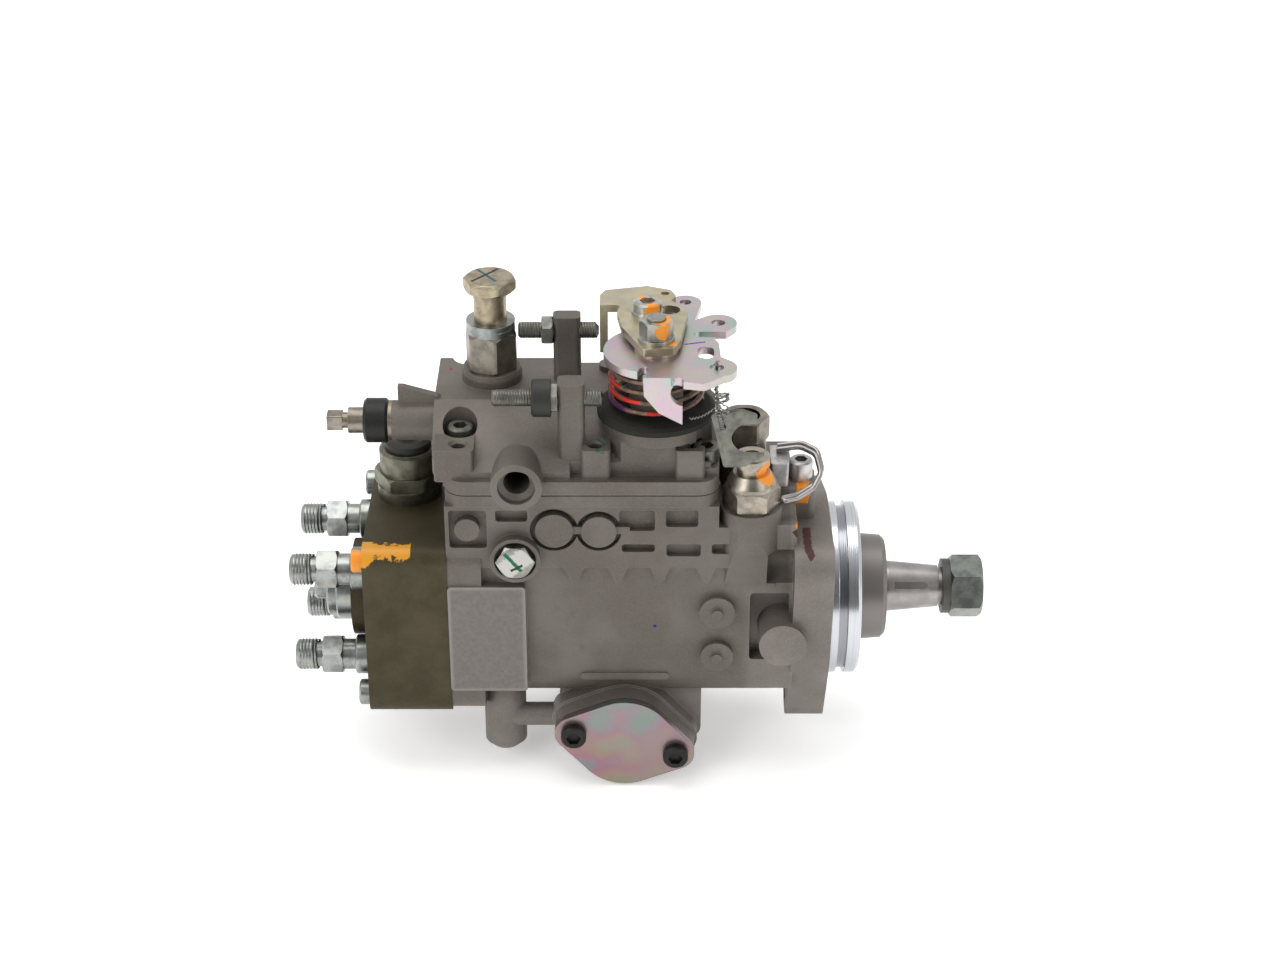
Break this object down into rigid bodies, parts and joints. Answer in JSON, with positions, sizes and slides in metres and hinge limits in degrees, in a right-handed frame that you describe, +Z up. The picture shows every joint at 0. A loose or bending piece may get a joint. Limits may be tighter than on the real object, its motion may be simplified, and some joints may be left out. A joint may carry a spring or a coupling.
{
  "type": "distributor type fuel injection pump",
  "caption": "High-pressure distributor fuel injection pump with mounting flange, tapered drive shaft, governor cover, throttle lever, timing device and outlet unions.",
  "frame": {"origin": "centre of the round mounting pilot, in the plane of the flange's mounting face", "axes": "+X out along the drive shaft, +Z up through the governor cover, -Y the side with the throttle lever"},
  "size_m": [0.2687, 0.0992, 0.1941],
  "materials": {
    "cast_aluminium": "fine sand-cast grey brown aluminium, machined bright at the flange pilot and pads",
    "phosphated_steel": "dark brown phosphated steel",
    "zinc_steel": "bright zinc plating on turned steel",
    "yellow_zinc": "yellow passivated zinc with faint rainbow tints",
    "black_screw": "black oiled steel",
    "black_plastic": "black moulded plastic",
    "seal_rubber": "black rubber and fibre sheet",
    "spring_wire": "brown drawn spring wire with paint bands",
    "inner_steel": "ground steel",
    "terminal_brass": "plain brass",
    "bronze": "sintered bronze"
  },
  "bodies": {
    "housing": {"pump_housing": "cast_aluminium", "governor_cover": "cast_aluminium", "distributor_head": "phosphated_steel", "head_screws": "zinc_steel", "seals": "seal_rubber", "centre_plug": "zinc_steel", "plunger_barrel": "inner_steel", "shut_off_body": "zinc_steel", "shut_off_cap": "black_plastic", "shut_off_terminal": "terminal_brass", "shut_off_spring": "spring_wire", "cover_screws": "zinc_steel", "overflow_adapter": "zinc_steel", "overflow_washers": "inner_steel", "overflow_bolt": "yellow_zinc", "idle_screw": "zinc_steel", "max_speed_screw": "zinc_steel", "max_speed_cap": "black_plastic", "full_load_screw": "zinc_steel", "full_load_nut": "black_plastic", "spring_seat": "black_plastic", "inlet_union": "zinc_steel", "regulating_valve": "zinc_steel", "banjo_block": "black_screw", "wire_bail": "inner_steel", "timing_cover_near": "yellow_zinc", "timing_cover_far": "yellow_zinc", "timing_screws": "black_screw", "governor_pins": "zinc_steel", "shaft_bush": "bronze", "pump_ring": "inner_steel", "timing_spring": "spring_wire", "plunger_springs": "spring_wire", "governor_spring": "spring_wire", "return_spring": "spring_wire", "lock_plate": "zinc_steel", "seal_wire": "inner_steel", "delivery_holder_1": "zinc_steel", "delivery_holder_2": "zinc_steel", "delivery_holder_3": "zinc_steel", "delivery_holder_4": "zinc_steel"},
    "drive": {"drive_shaft": "inner_steel", "lock_washer": "black_screw", "shaft_nut": "zinc_steel", "drive_gear": "inner_steel", "cam_plate": "inner_steel", "pump_rotor": "inner_steel"},
    "governor_rotor": {"governor_gear": "inner_steel"},
    "pusher": {"governor_pusher": "inner_steel"},
    "lever": {"governor_lever": "inner_steel"},
    "sleeve": {"control_sleeve": "inner_steel"},
    "throttle": {"throttle_shaft": "zinc_steel", "lower_lever": "yellow_zinc", "upper_lever": "yellow_zinc", "lever_nut": "zinc_steel", "lever_screw": "yellow_zinc"},
    "piston": {"timing_piston": "inner_steel"},
    "cam_ring": {"roller_ring": "inner_steel"},
    "armature": {"shut_off_armature": "inner_steel"}
  },
  "joints": [
    {"name": "drive_spin", "type": "hinge", "parent": "housing", "child": "drive", "pos_m": [0, 0, 0], "axis": [1, 0, 0], "continuous": true},
    {"name": "governor_spin", "type": "hinge", "parent": "housing", "child": "governor_rotor", "pos_m": [-0.057, 0, 0.045], "axis": [1, 0, 0], "continuous": true},
    {"name": "pusher_slide", "type": "slide", "parent": "housing", "child": "pusher", "axis": [-1, 0, 0], "range_m": [0, 0.002], "stiffness_N_per_m": 800},
    {"name": "lever_swing", "type": "hinge", "parent": "housing", "child": "lever", "pos_m": [-0.1198, 0, 0.0348], "axis": [0, 1, 0], "range_deg": [-11.5, 0], "deforming": ["governor_spring"]},
    {"name": "sleeve_slide", "type": "slide", "parent": "housing", "child": "sleeve", "axis": [1, 0, 0], "range_m": [0, 0.0052]},
    {"name": "throttle_turn", "type": "hinge", "parent": "housing", "child": "throttle", "pos_m": [-0.067, -0.0166, 0.11], "axis": [0, 0, 1], "range_deg": [-47, 0], "stiffness_Nm_per_rad": 0.6, "deforming": ["return_spring", "seal_wire", "governor_spring"]},
    {"name": "timing_slide", "type": "slide", "parent": "housing", "child": "piston", "axis": [0, 1, 0], "range_m": [0, 0.008], "stiffness_N_per_m": 3000, "deforming": ["timing_spring"]},
    {"name": "cam_ring_turn", "type": "hinge", "parent": "housing", "child": "cam_ring", "pos_m": [-0.079, 0, 0], "axis": [1, 0, 0], "range_deg": [0, 10]},
    {"name": "shut_off_slide", "type": "slide", "parent": "housing", "child": "armature", "axis": [0, 0, 1], "range_m": [0, 0.0015], "stiffness_N_per_m": 1500, "deforming": ["shut_off_spring"]}
  ],
  "couplings": [
    {"joint": "governor_spin", "follows": "drive_spin", "ratio": -1.6087},
    {"joint": "lever_swing", "follows": "pusher_slide", "rad_per_m": -98.04},
    {"joint": "sleeve_slide", "follows": "pusher_slide", "ratio": 2.5294},
    {"joint": "cam_ring_turn", "follows": "timing_slide", "rad_per_m": 21.74}
  ]
}
